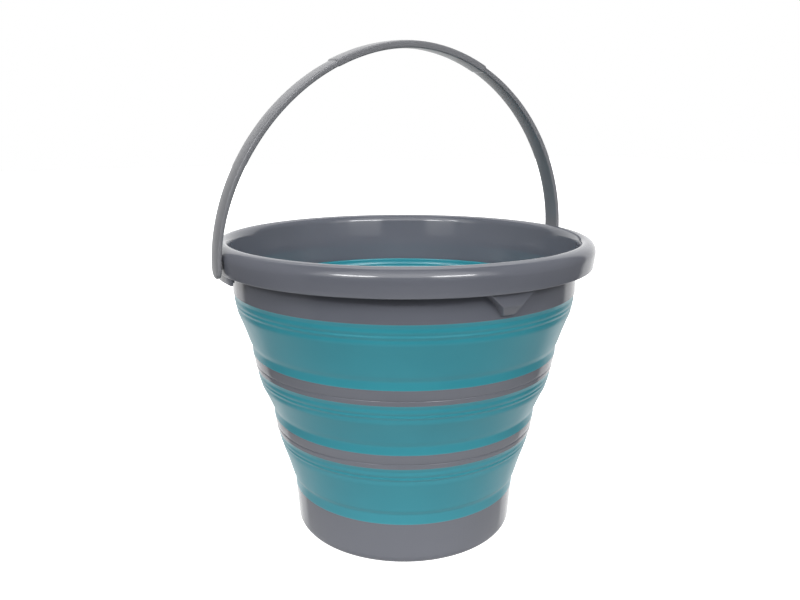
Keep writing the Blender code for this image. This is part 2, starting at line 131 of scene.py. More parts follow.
def arc(center: Corner, reach: Corner, start: float, end: float, steps: int) -> list[Corner]:
    """Draw part of an ellipse.

    Args:
        center: Its middle.
        reach: How far it reaches from there, outward and up.
        start: Angle at which it starts, from the outward side up.
        end: Angle at which it ends.
        steps: Number of steps along it.

    Returns:
        Its corners, both ends among them.
    """
    angles = [start + (end - start) * i / steps for i in range(steps + 1)]
    return [
        Corner(center.radius + reach.radius * math.cos(a), center.height + reach.height * math.sin(a))
        for a in angles
    ]


class NodeBoard:
    """Shader nodes of one material or of the surroundings, with short calls to add and join them."""

    COLOR_INPUTS = (6, 7)
    COLOR_OUTPUT = 2

    def __init__(self, owner: Material | bpy.types.World) -> None:
        """Open the node tree of a material or of the surroundings.

        Args:
            owner: The new material or world.
        """
        owner.use_nodes = True
        self.owner = owner
        self.tree = owner.node_tree
        self.shader = self.tree.nodes.get("Principled BSDF")

    def feed(self, target: Socket, value: Socket | float | Color | Vector) -> None:
        """Join a socket to an input, or set the input to a plain value.

        Args:
            target: The input.
            value: What it takes.
        """
        if isinstance(value, Socket):
            self.tree.links.new(value, target)
        else:
            target.default_value = value

    def add(self, kind: str, **values: object) -> bpy.types.Node:
        """Add a node and set its properties or feed its inputs.

        Args:
            kind: The node's type name.
            values: Properties by name, or inputs by name with spaces written as underscores.

        Returns:
            The new node.
        """
        node = self.tree.nodes.new(kind)
        for key, value in values.items():
            if hasattr(node, key):
                setattr(node, key, value)
            else:
                self.feed(node.inputs[key.replace("_", " ")], value)
        return node

    def dress(self, **values: object) -> None:
        """Feed the surface shader's inputs, named with underscores for spaces."""
        for key, value in values.items():
            self.feed(self.shader.inputs[key.replace("_", " ")], value)

    def place(self) -> Socket:
        """Return the socket of the places on the piece, in metres."""
        return self.add("ShaderNodeTexCoord").outputs["Object"]

    def noise(self, place: Socket, scale: float, layers: float, rough: float = 0.5) -> Socket:
        """Return the value of a noise at a place, with a scale in waves per metre and finer layers."""
        node = self.add("ShaderNodeTexNoise", Vector=place, Scale=scale, Detail=layers, Roughness=rough)
        return node.outputs["Fac"]

    def spread(
        self, value: Socket, results: Pair = (0.0, 1.0), limits: Pair = (0.3, 0.7), soft: bool = False
    ) -> Socket:
        """Map a value between two limits to a range of results.

        Args:
            value: The socket to map.
            results: Result at the first limit and at the second.
            limits: The first limit and the second.
            soft: Whether it starts and ends gently.

        Returns:
            The mapped value's socket.
        """
        style = "SMOOTHSTEP" if soft else "LINEAR"
        node = self.add("ShaderNodeMapRange", interpolation_type=style, clamp=True, Value=value)
        for name, number in zip(("From Min", "From Max", "To Min", "To Max"), limits + results):
            self.feed(node.inputs[name], number)
        return node.outputs["Result"]

    def mix(self, factor: Socket, first: Socket | Color, second: Color) -> Socket:
        """Mix a colour towards a fixed one.

        Args:
            factor: Share of the second colour.
            first: Colour at factor 0.
            second: Colour at factor 1.

        Returns:
            The mixed colour's socket.
        """
        node = self.add("ShaderNodeMix", data_type="RGBA", Factor=factor)
        for index, color in zip(self.COLOR_INPUTS, (first, second)):
            self.feed(node.inputs[index], color)
        return node.outputs[self.COLOR_OUTPUT]

    def math(self, operation: str, *values: Socket | float | Vector, kind: str = "ShaderNodeMath") -> Socket:
        """Reckon one number.

        Args:
            operation: What is done.
            values: What it is done with, in order.
            kind: The node's type name.

        Returns:
            The number's socket.
        """
        node = self.add(kind, operation=operation)
        for target, value in zip(node.inputs, values):
            self.feed(target, value)
        return node.outputs["Value"]

    def relief(self, height: Socket, depth: float, **under: Socket) -> Socket:
        """Return the normal of a bump with a depth in metres, laid over the Normal of a coarser one."""
        node = self.add("ShaderNodeBump", Height=height, Distance=depth, Strength=1.0, **under)
        return node.outputs["Normal"]


@dataclass(frozen=True)
class MouldedPlastic:
    """Satin moulded plastic: faint flow clouds, hazy gloss, slow waves, fine grain and a painted highlight
    that lightens its sharp edges.
    """

    name: str = "gray_moulded_plastic"
    color: Color = (0.170, 0.179, 0.212, 1.0)
    cloud_color: Color = (0.158, 0.167, 0.198, 1.0)
    # Lighter colour on sharp edges: a painted highlight.
    painted_highlight_color: Color = (0.240, 0.250, 0.285, 1.0)
    smooth: float = 0.08
    dull: float = 0.12
    specular: float = 0.75
    cloud_scale: float = 14.0
    cloud_layers: float = 4.0
    haze_scale: float = 70.0
    haze_layers: float = 5.0
    haze_strength: float = 0.6
    wave_scale: float = 30.0
    wave_layers: float = 1.0
    wave_depth: float = 0.00005
    grain_scale: float = 900.0
    grain_layers: float = 2.0
    grain_depth: float = 0.000003
    edge_radius: float = 0.0006
    edge_samples: int = 4
    # Strength and bend limits of the painted edge highlight.
    painted_highlight_share: float = 0.35
    painted_highlight_limits: Pair = (0.04, 0.30)

    def bend(self, board: NodeBoard) -> Socket:
        """Return how much the surface bends near each point, from 0 up towards 1 on a sharp edge."""
        near = board.add("ShaderNodeBevel", samples=self.edge_samples, Radius=self.edge_radius)
        here = board.add("ShaderNodeNewGeometry")
        return board.math("DISTANCE", near.outputs["Normal"], here.outputs["Normal"], kind=VECTOR_MATH)

    def material(self) -> Material:
        """Make the finish's nodes.

        Returns:
            The material.
        """
        board = NodeBoard(bpy.data.materials.new(self.name))
        place = board.place()
        clouds = board.spread(board.noise(place, self.cloud_scale, self.cloud_layers))
        color = board.mix(clouds, self.color, self.cloud_color)
        # Painted highlight: lightens the colour where the surface bends sharply at its edges.
        painted_highlight = board.spread(self.bend(board), (0.0, self.painted_highlight_share), self.painted_highlight_limits)
        haze = board.noise(place, self.haze_scale, self.haze_layers, self.haze_strength)
        wave = board.relief(board.noise(place, self.wave_scale, self.wave_layers), self.wave_depth)
        grain = board.noise(place, self.grain_scale, self.grain_layers)
        board.dress(
            Base_Color=board.mix(painted_highlight, color, self.painted_highlight_color),
            Roughness=board.spread(haze, (self.smooth, self.dull)),
            Normal=board.relief(grain, self.grain_depth, Normal=wave),
            Specular_IOR_Level=self.specular,
        )
        return board.owner


@dataclass(frozen=True)
class HandlePlastic(MouldedPlastic):
    """The handle's plastic, which is lighter and duller than the rings' and has no painted highlight on its
    edges.
    """

    name: str = "gray_handle_plastic"
    color: Color = (0.260, 0.264, 0.282, 1.0)
    cloud_color: Color = (0.245, 0.249, 0.266, 1.0)
    # Same as the base colour, so the painted edge highlight does not show.
    painted_highlight_color: Color = (0.260, 0.264, 0.282, 1.0)
    smooth: float = 0.28
    dull: float = 0.34
    specular: float = 0.5
    grain_depth: float = 0.000001


@dataclass(frozen=True)
class SoftRubber(MouldedPlastic):
    """Thermoplastic rubber of the folding walls: even colour, soft gloss, a fine skin and a painted
    highlight that lightens its raised edges.
    """

    name: str = "teal_soft_rubber"
    color: Color = (0.028, 0.300, 0.376, 1.0)
    cloud_color: Color = (0.034, 0.324, 0.402, 1.0)
    # Lighter teal on raised edges: a painted highlight.
    painted_highlight_color: Color = (0.120, 0.400, 0.470, 1.0)
    smooth: float = 0.28
    dull: float = 0.33
    cloud_scale: float = 16.0
    cloud_layers: float = 3.0
    haze_scale: float = 96.0
    wave_scale: float = 22.0
    wave_layers: float = 1.5
    wave_depth: float = 0.00010
    grain_scale: float = 1000.0
    grain_depth: float = 0.000005
    # Strength and pointiness limits of the painted edge highlight.
    painted_highlight_share: float = 0.4
    painted_highlight_limits: Pair = (0.52, 0.60)

    def bend(self, board: NodeBoard) -> Socket:
        """Return the socket of the mesh's own bend, above 0.5 where it stands out."""
        return board.add("ShaderNodeNewGeometry").outputs["Pointiness"]


@dataclass(frozen=True)
class StudioPaper:
    """Matt pale paper of the studio floor, lit from below so that it throws no shadow back."""

    name: str = "pale_studio_paper"
    color: Color = (0.90, 0.90, 0.90, 1.0)
    fleck: Color = (0.88, 0.88, 0.885, 1.0)
    roughness: float = 0.9
    fleck_scale: float = 60.0
    fleck_layers: float = 3.0
    glow: float = 1.0

    def material(self) -> Material:
        """Make the paper's nodes.

        Returns:
            The material.
        """
        board = NodeBoard(bpy.data.materials.new(self.name))
        flecks = board.noise(board.place(), self.fleck_scale, self.fleck_layers)
        board.dress(
            Base_Color=board.mix(flecks, self.color, self.fleck),
            Roughness=self.roughness,
            Specular_IOR_Level=0.0,
            Emission_Color=WHITE,
            Emission_Strength=self.glow,
        )
        return board.owner


def rounded(bm: Shape, picked: list, size: float, segments: int = ROUNDING_SEGMENTS) -> None:
    """Round corners or edges of a shape.

    Args:
        bm: The shape.
        picked: Its corners or edges to round.
        size: How far the rounding reaches.
        segments: Number of steps across the rounding.
    """
    bmesh.ops.bevel(
        bm, geom=picked, offset=size, offset_type="OFFSET", segments=segments, profile=0.5,
        affect="VERTICES" if isinstance(picked[0], bmesh.types.BMVert) else "EDGES",
        material=-1, clamp_overlap=True,
    )


def turned(outline: Sequence[Corner], row: float = TOOL_ROW, axis: TurnAxis = TurnAxis.UP) -> Shape:
    """Turn a closed outline about an axis into a solid.

    Args:
        outline: Corners of the outline in order.
        row: Longest edge left whole along the outline.
        axis: The axis that it is turned about.

    Returns:
        The solid, with its faces outward.
    """
    bm = bmesh.new()
    verts = [bm.verts.new(axis.point(corner.radius, corner.height)) for corner in outline]
    bm.faces.new(verts)
    for size in sorted({corner.rounding for corner in outline if corner.rounding > 0.0}):
        picked = [vert for vert, corner in zip(verts, outline) if corner.rounding == size]
        rounded(bm, picked, size)
    bmesh.ops.delete(bm, geom=bm.faces[:], context="FACES_ONLY")
    for edge in list(bm.edges):
        cuts = math.ceil(edge.calc_length() / row) - 1
        if cuts > 0:
            bmesh.ops.subdivide_edges(bm, edges=[edge], cuts=cuts)
    direction = Vector(axis.value)
    on_axis = [edge for edge in bm.edges if all(v.co.cross(direction).length < WELD for v in edge.verts)]
    bmesh.ops.delete(bm, geom=on_axis, context="EDGES")
    bmesh.ops.spin(
        bm, geom=bm.verts[:] + bm.edges[:], cent=(0.0, 0.0, 0.0), axis=direction,
        angle=math.tau, steps=axis.steps, use_merge=True,
    )
    bmesh.ops.remove_doubles(bm, verts=bm.verts[:], dist=WELD)
    bmesh.ops.recalc_face_normals(bm, faces=bm.faces[:])
    return bm


def lofted(rings: Sequence[Sequence[Vector]], closed: bool = True) -> Shape:
    """Bridge rings of corners into a block.

    Args:
        rings: Rings of equal corner count, from one end to the other.
        closed: Whether both ends are filled.

    Returns:
        The block, with its faces outward.
    """
    bm = bmesh.new()
    loops = []
    for ring in rings:
        verts = [bm.verts.new(corner) for corner in ring]
        loops.append([bm.edges.new(pair) for pair in zip(verts, verts[1:] + verts[:1])])
    for lower, upper in zip(loops, loops[1:]):
        bmesh.ops.bridge_loops(bm, edges=lower + upper)
    if closed:
        bmesh.ops.holes_fill(bm, edges=loops[0] + loops[-1])
    bmesh.ops.recalc_face_normals(bm, faces=bm.faces[:])
    return bm


def soften(bm: Shape, size: float) -> None:
    """Round every sharp edge of a closed block to a width."""
    edges = [edge for edge in bm.edges if edge.calc_face_angle() > BLOCK_ANGLE]
    rounded(bm, edges, size, BLOCK_SEGMENTS)


def mirrored(bm: Shape, side: Side) -> Shape:
    """Mirror a solid across X = 0 for the left side.

    Args:
        bm: A solid made for the right side.
        side: The side that it is for.

    Returns:
        The same bmesh, with its faces outward.
    """
    bmesh.ops.scale(bm, vec=(side.value, 1.0, 1.0), verts=bm.verts[:])
    bmesh.ops.recalc_face_normals(bm, faces=bm.faces[:])
    return bm


def piece(name: str, bm: Shape, material: Material) -> Piece:
    """Make a shaded object of a bmesh.

    Args:
        name: The piece's name.
        bm: Its shape, which is freed.
        material: Its finish.

    Returns:
        The linked object.
    """
    mesh = bpy.data.meshes.new(name)
    bm.to_mesh(mesh)
    bm.free()
    mesh.materials.append(material)
    mesh.shade_smooth()
    mesh.set_sharp_from_angle(angle=SHARP_ANGLE)
    obj = bpy.data.objects.new(name, mesh)
    bpy.context.scene.collection.objects.link(obj)
    return obj


def combine(obj: Piece, tool: Shape, joining: Joining) -> None:
    """Add a tool solid to a piece, cut it away, or trim the piece to it.

    Args:
        obj: The piece that changes.
        tool: The tool solid, which is used up.
        joining: What is done with it.
    """
    helper = piece(obj.name + "_tool", tool, obj.data.materials[0])
    modifier = obj.modifiers.new("joining", "BOOLEAN")
    modifier.operation = joining.value
    modifier.solver = "EXACT"
    modifier.object = helper
    bpy.context.view_layer.update()
    graph = bpy.context.evaluated_depsgraph_get()
    old = obj.data
    obj.data = bpy.data.meshes.new_from_object(obj.evaluated_get(graph))
    obj.modifiers.clear()
    bpy.data.meshes.remove(old)
    bpy.data.objects.remove(helper, do_unlink=True)
    obj.data.set_sharp_from_angle(angle=SHARP_ANGLE)


@dataclass
class Bands:
    """Heights of the open wall's bands, from the floor up, and the outer radii of its hard rings."""

    base: float = 0.0374
    lower_panel: float = 0.0540
    lower_hoop: float = 0.0121
    middle_panel: float = 0.0444
    upper_hoop: float = 0.0127
    upper_panel: float = 0.0524
    rim: float = 0.0420
    lower_hoop_radii: Pair = (0.1123, 0.1141)
    upper_hoop_radii: Pair = (0.1281, 0.1304)

    def levels(self) -> list[float]:
        """Return the heights at which the bands above the base start."""
        lower = (self.base, self.lower_panel, self.lower_hoop)
        return list(accumulate(lower + (self.middle_panel, self.upper_hoop, self.upper_panel)))


@dataclass
class BaseCup:
    """The hard foot: short wall, rounded corner, foot ring and floor."""

    plastic: Material
    height: float
    top_radius: float = 0.0974
    foot_radius: float = 0.0953
    wall: float = 0.0024
    corner: float = 0.0082
    corner_steps: int = 10
    floor: float = 0.0024
    ring_width: float = 0.0070
    ring_height: float = 0.0022
    ring_draft: float = 0.0012
    fillet: float = 0.0050
    fillet_rounding: float = 0.4
    edge: float = 0.0003
    row: float = 0.006

    def outline(self) -> list[Corner]:
        """Draw the foot.

        Returns:
            Its section, from the top of its wall round to its floor.
        """
        ring_outer = self.foot_radius - self.corner
        ring_inner = ring_outer - self.ring_width
        floor_top = self.ring_height + self.floor
        inner = self.foot_radius - self.wall
        soft = self.fillet * self.fillet_rounding
        center = Corner(ring_outer, self.corner)
        reach = Corner(self.corner, self.corner)
        return [
            Corner(self.top_radius - self.wall, self.height),
            Corner(self.top_radius, self.height),
            *arc(center, reach, 0.0, -math.pi / 2, self.corner_steps),
            Corner(ring_inner, 0.0, self.edge),
            Corner(ring_inner - self.ring_draft, self.ring_height, self.edge),
            Corner(0.0, self.ring_height),
            Corner(0.0, floor_top),
            Corner(inner - self.fillet, floor_top, soft),
            Corner(inner, floor_top + self.fillet, soft),
        ]

    def build(self) -> Piece:
        """Make the foot and set it on its body.

        Returns:
            The piece.
        """
        foot = piece("base_foot", turned(self.outline(), self.row), self.plastic)
        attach(foot, "base")
        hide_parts("base_cup")
        return foot


@dataclass
class Hoop:
    """One hard ring of the wall, with a fine line moulded round it."""

    plastic: Material
    node: str
    body: str
    level: float
    height: float
    radii: Pair
    wall: float = 0.0024
    line_lift: float = 0.0034
    line_width: float = 0.0012
    line_depth: float = 0.0004
    row: float = 0.003

    def line_corner(self, lift: float, depth: float = 0.0) -> Corner:
        """Return a rounded corner of the line, at a height above the hoop's edge and a depth."""
        radius = self.radii[0] + (self.radii[1] - self.radii[0]) * lift / self.height - depth
        return Corner(radius, self.level + lift, self.line_width / 5)

    def outline(self) -> list[Corner]:
        """Draw the hoop.

        Returns:
            Its section.
        """
        bottom, top = self.radii
        return [
            Corner(top - self.wall, self.level + self.height),
            Corner(top, self.level + self.height),
            self.line_corner(self.line_lift + self.line_width),
            self.line_corner(self.line_lift + self.line_width / 2, self.line_depth),
            self.line_corner(self.line_lift),
            Corner(bottom, self.level),
            Corner(bottom - self.wall, self.level),
        ]

    def build(self) -> Piece:
        """Make the hoop and set it on its body.

        Returns:
            The piece.
        """
        shape = turned(self.outline(), self.row)
        ring = piece(self.node + "_ring", shape, self.plastic)
        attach(ring, self.body)
        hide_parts(self.node)
        return ring


@dataclass
class WallPanel:
    """One soft folding panel: hinge ridges, thick panel, lip and thin foot strip."""

    rubber: Material
    node: str
    lower_body: str
    upper_body: str
    level: float
    height: float
    bottom_radius: float
    top_radius: float
    shoulder_taper: float
    lip_relief: float
    lip_lift: float
    wall: float = 0.0024
    shoulder_drop: float = 0.0152
    groove_drops: tuple[float, ...] = (0.0033, 0.0083, 0.0119)
    ridge_drops: tuple[float, ...] = (0.0063, 0.0098)
    groove_depth: float = 0.0005
    ridge_relief: float = 0.0002
    undercut: float = 0.0038
    strip_relief: float = 0.0003
    hollow: float = 0.0004
    rabbet: float = 0.0
    inner_groove: float = 0.0005
    inner_rounding: float = 0.0020
    fold_start: float = 0.0040
    fold_end: float = 0.0030
    row: float = 0.0011

    def hinge_zone(self, groove: float, ridge: float, fine: float) -> list[Corner]:
        """Draw one side of the hinge zone under the panel's top edge.

        Args:
            groove: How far its grooves stand out from the shoulder's slope.
            ridge: How far its ridges stand out from it.
            fine: Size of its roundings.

        Returns:
            The corners, from the top down.
        """
        grooves, ridges = self.groove_drops, self.ridge_drops
        marks = (
            (grooves[0], groove, fine), (ridges[0], ridge, 2 * fine), (grooves[1], groove, fine),
            (ridges[1], ridge, fine), (grooves[2], groove, fine),
        )
        corners = []
        for drop, relief, rounding in marks:
            radius = self.top_radius - self.shoulder_taper * drop / self.shoulder_drop + relief
            corners.append(Corner(radius, self.level + self.height - drop, rounding))
        return corners

    def outline(self) -> list[Corner]:
        """Draw the panel.

        Returns:
            Its section, from the top edge down its outside and up its inside.
        """
        top = self.level + self.height
        shoulder = self.top_radius - self.shoulder_taper
        lip = self.bottom_radius + self.lip_relief
        lip_level = self.level + self.lip_lift
        middle = self.level + (self.height - self.shoulder_drop + self.lip_lift) / 2
        inner = self.top_radius - self.wall
        seat = self.top_radius - self.wall / 2
        fine = self.groove_depth
        soft = self.inner_rounding
        corners = [Corner(self.top_radius, top)]
        corners += self.hinge_zone(-self.groove_depth, self.ridge_relief, fine)
        corners += [
            Corner(shoulder, top - self.shoulder_drop, 3 * fine),
            Corner((shoulder + lip) / 2 - self.hollow, middle, 12 * fine),
            Corner(lip, lip_level, 2 * fine),
            Corner(self.bottom_radius + self.strip_relief, lip_level - self.undercut, 2 * fine),
            Corner(self.bottom_radius, self.level),
            Corner(self.bottom_radius - self.wall, self.level),
            Corner(self.bottom_radius - self.wall, lip_level - self.undercut, soft),
            Corner(lip - self.wall, lip_level + self.undercut / 2, soft),
            Corner(shoulder - self.wall, top - self.shoulder_drop, soft),
        ]
        corners += reversed(self.hinge_zone(-self.wall, self.inner_groove - self.wall, self.inner_groove))
        if self.rabbet:
            corners += [Corner(inner, top - self.rabbet), Corner(seat, top - self.rabbet), Corner(seat, top)]
        else:
            corners.append(Corner(inner, top))
        return corners

    def build(self) -> Piece:
        """Make the panel in place between the hard rings that it joins.

        Returns:
            The piece.
        """
        shape = turned(self.outline(), self.row)
        skin = piece(self.node + "_skin", shape, self.rubber)
        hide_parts(self.node)
        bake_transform(skin)
        return skin


@dataclass
class RimFrame:
    """The rim's moulding: band, flared inner wall, rolled crest, skirt, spout, tabs and pivot ears."""

    plastic: Material
    level: float
    height: float
    band_radius: float = 0.1445
    wall: float = 0.0024
    rim_radius: float = 0.1594
    skirt_draft: float = 0.0014
    skirt_drop: float = 0.0210
    skirt_wall: float = 0.0024
    crest_reach: float = 0.0079
    crest_rise: float = 0.0090
    crest_steps: int = 14
    roll_width: float = 0.0060
    roll_drop: float = 0.0080
    roll_turn: float = math.radians(78.5)
    roll_steps: int = 12
    flare_foot: float = 0.0265
    flare_rounding: float = 0.0050
    hollow_lap: float = 0.0010
    hollow_middle: float = 0.0140
    hollow_top: float = 0.0090
    hollow_steps: int = 8
    hollow_open_steps: int = 2
    core_share: float = 0.3
    core_crest_steps: int = 10
    core_roll_steps: int = 6
    rabbet: float = 0.0027
    spout_top_half: float = 0.0195
    spout_knee_half: float = 0.0088
    spout_foot_half: float = 0.0049
    spout_seat_half: float = 0.0042
    spout_seat_lift: float = 0.0018
    spout_foot_lift: float = 0.0035
    spout_knee_lift: float = 0.0107
    spout_shoulder_drop: float = 0.0005
    spout_skirt_gap: float = 0.0026
    spout_foot_share: float = 0.48
    spout_wall: float = 0.0024
    overrun: float = 0.0040
    tab_half_width: float = 0.0152
    tab_drop: float = 0.0055
    tab_inset: float = 0.0004
    tab_lap: float = 0.0020
    tab_corner: float = 0.0014
    ear_half_width: float = 0.0080
    ear_depth: float = 0.0050
    ear_drop: float = 0.0045
    pivot_drop: float = 0.0120
    bore_radius: float = 0.0034
    edge: float = 0.0006
    row: float = 0.005

    def __post_init__(self) -> None:
        """Work out the heights and radii that several methods share."""
        self.top = self.level + self.height
        self.crest_center = self.rim_radius - self.crest_reach
        self.skirt_middle = self.rim_radius - self.skirt_draft - self.skirt_wall / 2
        self.skirt_level = self.top - self.skirt_drop
        self.ear_back = self.skirt_middle - self.ear_depth
        self.pivot_level = self.top - self.pivot_drop

    def crest_curve(self, depth: float, steps: int) -> list[Corner]:
        """Return the crest's outer quarter at a depth, from the skirt up to the top."""
        center = Corner(self.crest_center, self.top - self.crest_rise)
        reach = Corner(self.crest_reach - depth, self.crest_rise - depth)
        return arc(center, reach, 0.0, math.pi / 2, steps)

    def roll_curve(self, depth: float, steps: int) -> list[Corner]:
        """Return the crest's inner roll at a depth, from below the top down to the flare."""
        center = Corner(self.crest_center, self.top - self.roll_drop)
        reach = Corner(self.roll_width - depth, self.roll_drop - depth)
        return arc(center, reach, math.pi / 2, math.pi / 2 + self.roll_turn, steps)[1:]

    def flare_back(self, drop: float) -> Corner:
        """Return a corner on the back of the flared wall at a distance below the top."""
        end = self.roll_curve(0.0, 1)[0]
        inner = self.band_radius - self.wall
        share = (self.flare_foot - drop) / (self.flare_foot - (self.top - end.height))
        return Corner(inner + (end.radius - inner) * share + self.wall, self.top - drop)

    def outline(self) -> list[Corner]:
        """Draw the rim.

        Returns:
            Its section, from the skirt's foot round to it again.
        """
        foot = self.rim_radius - self.skirt_draft
        inner = self.band_radius - self.wall
        seat = self.band_radius - self.wall / 2
        hollow = self.crest_curve(self.skirt_wall, self.hollow_steps)
        return [
            Corner(foot, self.skirt_level, self.edge),
            *self.crest_curve(0.0, self.crest_steps),
            *self.roll_curve(0.0, self.roll_steps),
            Corner(inner, self.top - self.flare_foot, self.flare_rounding),
            Corner(inner, self.level - self.rabbet, self.edge / 2),
            Corner(seat, self.level - self.rabbet),
            Corner(seat, self.level),
            Corner(self.band_radius, self.level),
            Corner(self.band_radius, self.skirt_level + self.hollow_lap),
            self.flare_back(self.hollow_middle),
            self.flare_back(self.hollow_top),
            *reversed(hollow[:-self.hollow_open_steps]),
            Corner(foot - self.skirt_wall, self.skirt_level, self.edge),
        ]

    def core(self) -> Shape:
        """Turn the ring inside the rim's walls that trims what is joined to the rim.

        Returns:
            The ring.
        """
        inner = self.band_radius - self.wall + self.wall * self.core_share
        corners = [
            Corner(self.skirt_middle, self.level),
            *self.crest_curve(self.skirt_wall / 2, self.core_crest_steps),
            *self.roll_curve(self.skirt_wall / 2, self.core_roll_steps),
            Corner(inner, self.top - self.flare_foot),
            Corner(inner, self.level),
        ]
        return turned(corners)

    def beak(self, wall: float) -> Shape:
        """Loft the spout's beak from its seat on the band up, drawn in by a wall.

        Args:
            wall: Thickness taken off the sides, front and foot.

        Returns:
            The beak with rounded edges.
        """
        back = self.band_radius - self.wall - self.overrun
        seat_front = self.band_radius - self.wall / 2
        front = self.rim_radius - self.skirt_draft - self.skirt_wall - self.spout_skirt_gap
        foot_front = self.band_radius + (front - self.band_radius) * self.spout_foot_share
        stations = (
            (self.spout_seat_half, seat_front, self.level + self.spout_seat_lift + wall),
            (self.spout_foot_half, foot_front, self.level + self.spout_foot_lift + wall),
            (self.spout_knee_half, front, self.level + self.spout_knee_lift + wall / 2),
            (self.spout_top_half, front, self.skirt_level - self.spout_shoulder_drop),
            (self.spout_top_half, front, self.top + self.overrun),
        )
        rings = []
        for half_width, reach, level in stations:
            half = half_width - wall
            near = reach - wall
            places = ((-half, near), (half, near), (half, back), (-half, back))
            rings.append([Vector((x, -y, level)) for x, y in places])
        bm = lofted(rings)
        soften(bm, self.edge)
        return bm

    def side_block(self, half_width: float, faces: Pair, levels: Pair) -> Shape:
        """Loft an upright block on the right side of the rim.

        Args:
            half_width: Half of its width along the skirt.
            faces: Distances of its inner and outer faces from the bucket's axis.
            levels: Heights of its foot and its top.

        Returns:
            The block.
        """
        inner, outer = faces
        foot, top = levels
        section = ((inner, foot), (outer, foot), (outer, top), (inner, top))
        return lofted([[Vector((x, y, z)) for x, z in section] for y in (-half_width, half_width)])

    def join_common(self, rim: Piece, first: Shape, second: Shape) -> None:
        """Join to the rim the solid that two shapes have in common.

        Args:
            rim: The rim piece.
            first: One shape, which is used up.
            second: The other shape, which is used up.
        """
        common = piece("rim_common", first, self.plastic)
        combine(common, second, Joining.TRIM)
        shape = bmesh.new()
        shape.from_mesh(common.data)
        bpy.data.objects.remove(common, do_unlink=True)
        combine(rim, shape, Joining.ADD)

    def add_tab(self, rim: Piece, side: Side) -> None:
        """Lengthen the skirt downward with a tab below one pivot.

        Args:
            rim: The rim piece.
            side: The side that the tab is on.
        """
        outer = self.rim_radius - self.skirt_draft - self.tab_inset
        inner = outer - self.skirt_wall + 2 * self.tab_inset
        foot = self.skirt_level - self.tab_drop
        top = self.skirt_level + self.tab_lap
        corners = [Corner(radius, foot, self.edge) for radius in (inner, outer)]
        ring = turned(corners + [Corner(radius, top) for radius in (outer, inner)])
        levels = (foot - WELD, top + self.overrun)
        block = self.side_block(self.tab_half_width, (self.band_radius, self.rim_radius), levels)
        bottom = [line for line in block.edges if all(vert.co.z < foot for vert in line.verts)]
        ends = [line for line in bottom if line.verts[0].co.y == line.verts[1].co.y]
        rounded(block, ends, self.tab_corner)
        self.join_common(rim, ring, mirrored(block, side))

    def add_ear(self, rim: Piece, side: Side) -> None:
        """Join one pivot ear behind the skirt and bore it.

        Args:
            rim: The rim piece.
            side: The side that the ear is on.
        """
        levels = (self.skirt_level - self.ear_drop, self.top)
        ear = self.side_block(self.ear_half_width, (self.ear_back, self.rim_radius), levels)
        soften(ear, self.edge)
        self.join_common(rim, mirrored(ear, side), self.core())
        near = self.ear_back - self.overrun / 4
        far = self.rim_radius + self.overrun
        radius = self.bore_radius
        hole = (Corner(0.0, near), Corner(radius, near), Corner(radius, far), Corner(0.0, far))
        bore = mirrored(turned(hole, axis=TurnAxis.ACROSS), side)
        bmesh.ops.translate(bore, vec=(0.0, 0.0, self.pivot_level), verts=bore.verts[:])
        combine(rim, bore, Joining.CUT)

    def build(self) -> Piece:
        """Make the rim and set it on its body.

        Returns:
            The piece.
        """
        shape = turned(self.outline(), self.row)
        rim = piece("rim_moulding", shape, self.plastic)
        self.join_common(rim, self.beak(0.0), self.core())
        combine(rim, self.beak(self.spout_wall), Joining.CUT)
        for side in Side:
            self.add_tab(rim, side)
            self.add_ear(rim, side)
        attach(rim, "rim")
        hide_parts("rim_frame")
        return rim


